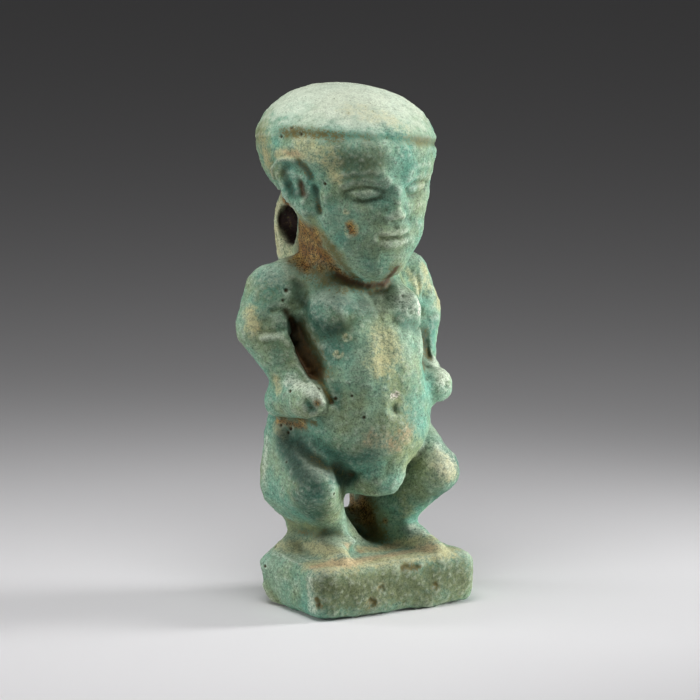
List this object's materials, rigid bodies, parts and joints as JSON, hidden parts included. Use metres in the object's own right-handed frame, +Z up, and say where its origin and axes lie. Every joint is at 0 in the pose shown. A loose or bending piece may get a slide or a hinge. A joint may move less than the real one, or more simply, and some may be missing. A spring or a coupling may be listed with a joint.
{
  "type": "faience pataikos amulet",
  "caption": "Squat standing dwarf figure with a skull cap, fists on its hips, on a low rectangular plinth, with a pierced suspension loop behind the neck.",
  "frame": {"origin": "centre of the plinth's flat underside", "axes": "+Z up through the figure, which faces -Y; its right hand side is -X and the loop is behind the neck at +Y"},
  "size_m": [0.0176, 0.0158, 0.04],
  "materials": {
    "faience": "worn matte turquoise to sea-green glaze, paler on top, with beige deposits and brown dirt in the hollows"
  },
  "bodies": {
    "root": {"pataikos_amulet": "faience"}
  },
  "joints": []
}
